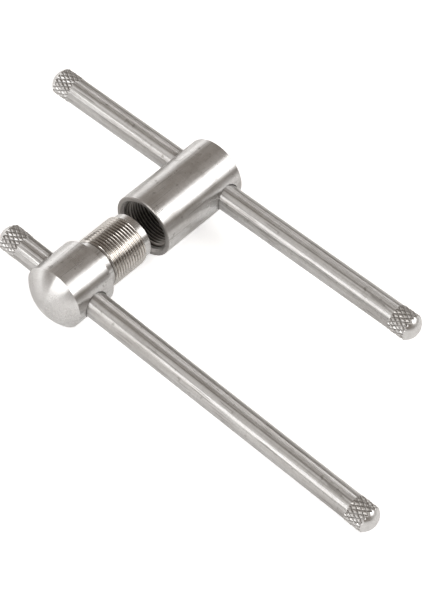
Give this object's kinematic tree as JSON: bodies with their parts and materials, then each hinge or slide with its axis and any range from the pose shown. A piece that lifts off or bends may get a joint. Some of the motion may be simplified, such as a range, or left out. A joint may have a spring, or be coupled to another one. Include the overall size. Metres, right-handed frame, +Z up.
{
  "type": "hand screw press",
  "caption": "Hand screw press: a screw with a domed head turns into a blind threaded sleeve, with a sliding knurled-end cross bar through each to wring them together.",
  "frame": {"origin": "centre of the sleeve's flat closed end face, on the screw's axis", "axes": "+X along the screw's axis, out of the sleeve's closed end; +Y along the sleeve's cross bar; +Z up, away from the surface the press lies on"},
  "size_m": [0.0724, 0.1705, 0.02],
  "materials": {
    "turned_steel": "turned, satin",
    "disc_steel": "turned, satin",
    "bar_steel": "drawn, satin, knurled ends"
  },
  "bodies": {
    "sleeve": {"sleeve": "turned_steel", "base_disc": "disc_steel"},
    "press_disc": {"press_disc": "disc_steel"},
    "screw": {"screw": "turned_steel"},
    "sleeve_bar": {"sleeve_bar": "bar_steel"},
    "screw_bar": {"screw_bar": "bar_steel"}
  },
  "joints": [
    {"name": "screw_advance", "type": "slide", "parent": "sleeve", "child": "press_disc", "axis": [1, 0, 0], "range_m": [0, 0.0225]},
    {"name": "screw_turn", "type": "hinge", "parent": "press_disc", "child": "screw", "pos_m": [-0.0381, 0, 0], "axis": [1, 0, 0], "range_deg": [0, 8100]},
    {"name": "sleeve_bar_slide", "type": "slide", "parent": "sleeve", "child": "sleeve_bar", "axis": [0, 1, 0], "range_m": [-0.03935, 0.06285]},
    {"name": "screw_bar_slide", "type": "slide", "parent": "screw", "child": "screw_bar", "axis": [0, 0.9986, 0.0525], "range_m": [-0.00766, 0.09453]}
  ],
  "couplings": [
    {"joint": "screw_advance", "follows": "screw_turn", "m_per_rad": 0.00015915}
  ]
}
